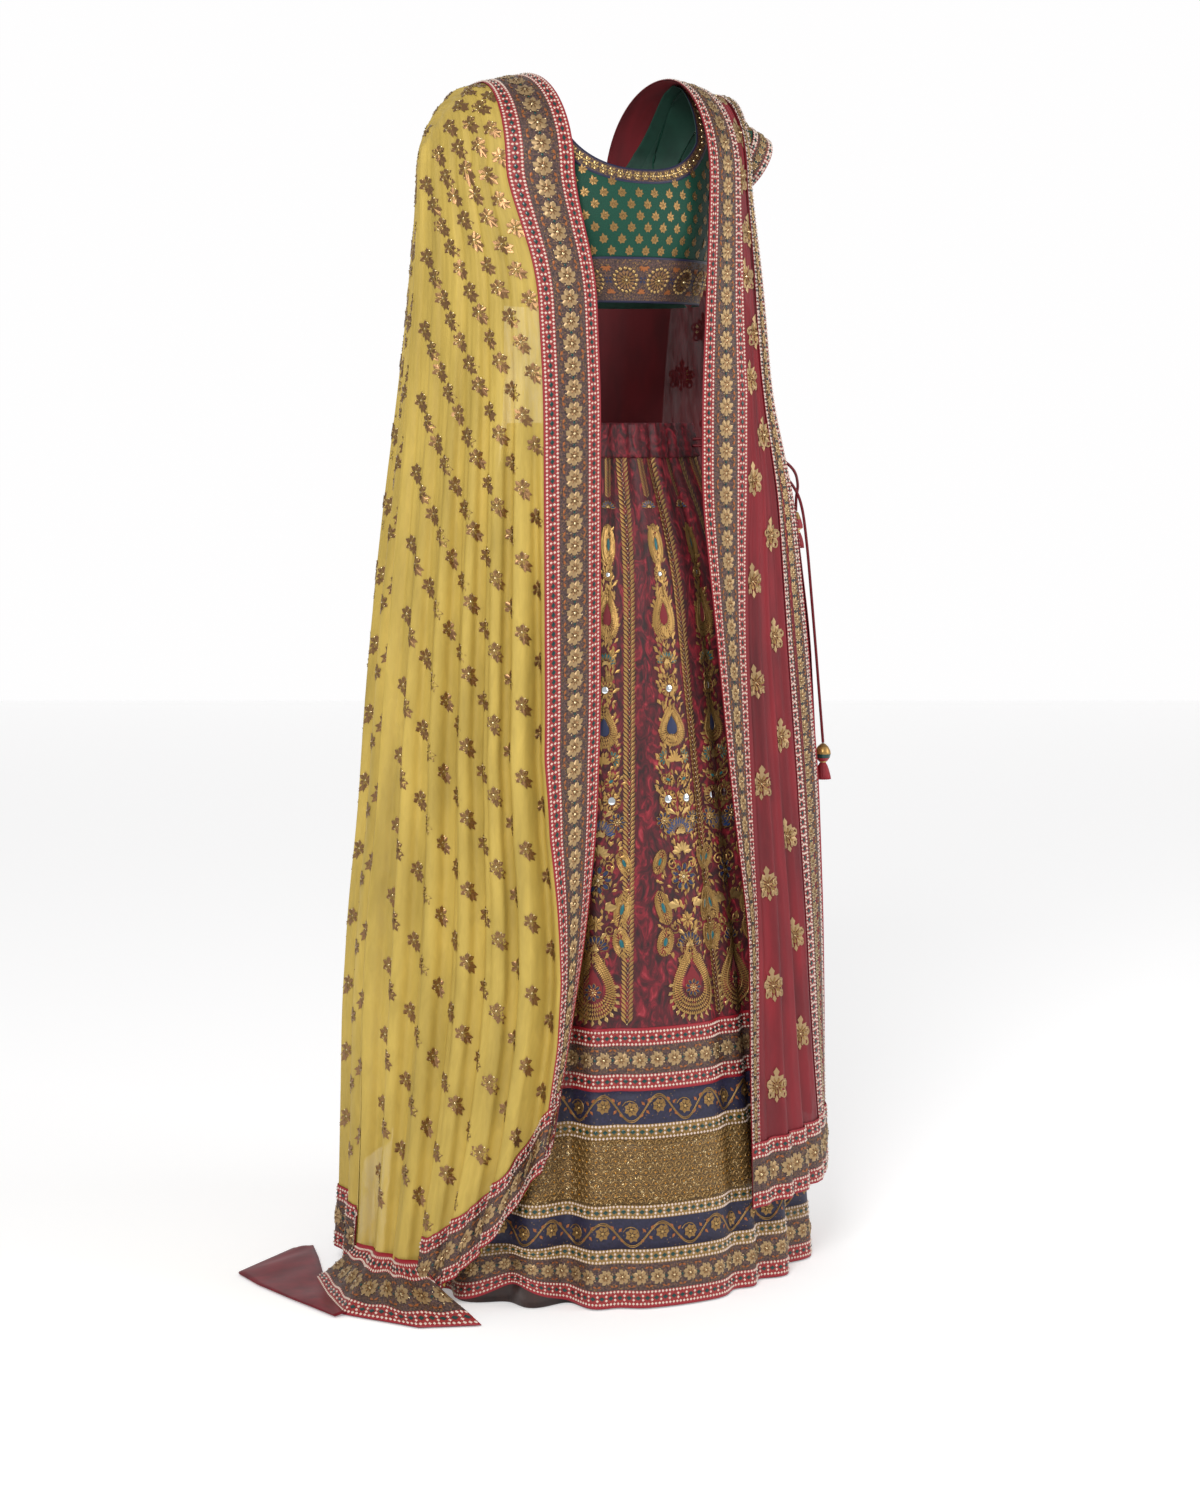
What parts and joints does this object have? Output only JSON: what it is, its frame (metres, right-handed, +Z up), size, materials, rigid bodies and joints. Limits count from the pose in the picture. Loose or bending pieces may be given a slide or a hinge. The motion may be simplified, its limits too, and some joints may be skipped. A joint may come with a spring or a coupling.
{
  "type": "lehenga choli with dupattas",
  "caption": "Cropped green blouse, pleated maroon velvet skirt with sewn borders, a golden chiffon dupatta over the right shoulder and a maroon one over the left, held as worn.",
  "frame": {"origin": "midpoint between the wearer's shoulders, 1.44 m above the floor, where the garment is held up", "axes": "+Z up, front of the garment towards -Y, the wearer's right towards -X"},
  "size_m": [0.7369, 0.5011, 1.4546],
  "materials": {
    "choli_brocade": "bottle green silk brocade with small gold butis",
    "choli_trim": "brown band covered in gold sequin rosettes, piped in navy",
    "skirt_velvet": "crushed maroon velvet",
    "flower_border": "brown band with gold flowers between pearl bands",
    "navy_border": "navy silk band with gold scrolls",
    "gold_lattice": "antique gold bead lattice",
    "satin_lining": "dark brown satin",
    "gold_chiffon": "sheer golden yellow chiffon with bronze sequin butis",
    "maroon_chiffon": "sheer maroon chiffon with gold motifs",
    "border_backing": "plain maroon silk backing",
    "drawstring_silk": "maroon silk cord and tassels with gold thread"
  },
  "bodies": {
    "root": {"choli_front": "choli_brocade", "choli_back": "choli_brocade", "sleeve_right": "choli_brocade", "sleeve_left": "choli_brocade", "neck_band_front": "choli_trim", "neck_band_back": "choli_trim", "choli_hem_band_front": "choli_trim", "choli_hem_band_back": "choli_trim", "sleeve_band_right": "choli_trim", "sleeve_band_left": "choli_trim", "waistband": "skirt_velvet", "skirt_velvet_front": "skirt_velvet", "skirt_velvet_back": "skirt_velvet", "skirt_border_top": "flower_border", "skirt_border_navy_upper": "navy_border", "skirt_border_gold": "gold_lattice", "skirt_border_navy_lower": "navy_border", "skirt_border_hem": "flower_border", "skirt_lining": "satin_lining", "dupatta_gold_chiffon_front": "gold_chiffon", "dupatta_gold_chiffon_back": "gold_chiffon", "dupatta_gold_long_border_front": "flower_border", "dupatta_gold_long_border_back": "flower_border", "dupatta_gold_end_border_front": "flower_border", "dupatta_gold_end_border_back": "flower_border", "dupatta_gold_floor_end": "flower_border", "dupatta_gold_corner": "border_backing", "dupatta_maroon_chiffon_front": "maroon_chiffon", "dupatta_maroon_chiffon_back": "maroon_chiffon", "dupatta_maroon_long_border_front": "flower_border", "dupatta_maroon_long_border_back": "flower_border", "dupatta_maroon_outer_border_front": "flower_border", "dupatta_maroon_outer_border_back": "flower_border", "dupatta_maroon_end_border_front": "flower_border", "dupatta_maroon_end_border_back": "flower_border", "drawstring_upper": "drawstring_silk", "drawstring_lower": "drawstring_silk", "latkan_upper": "drawstring_silk", "latkan_lower": "drawstring_silk"}
  },
  "joints": []
}
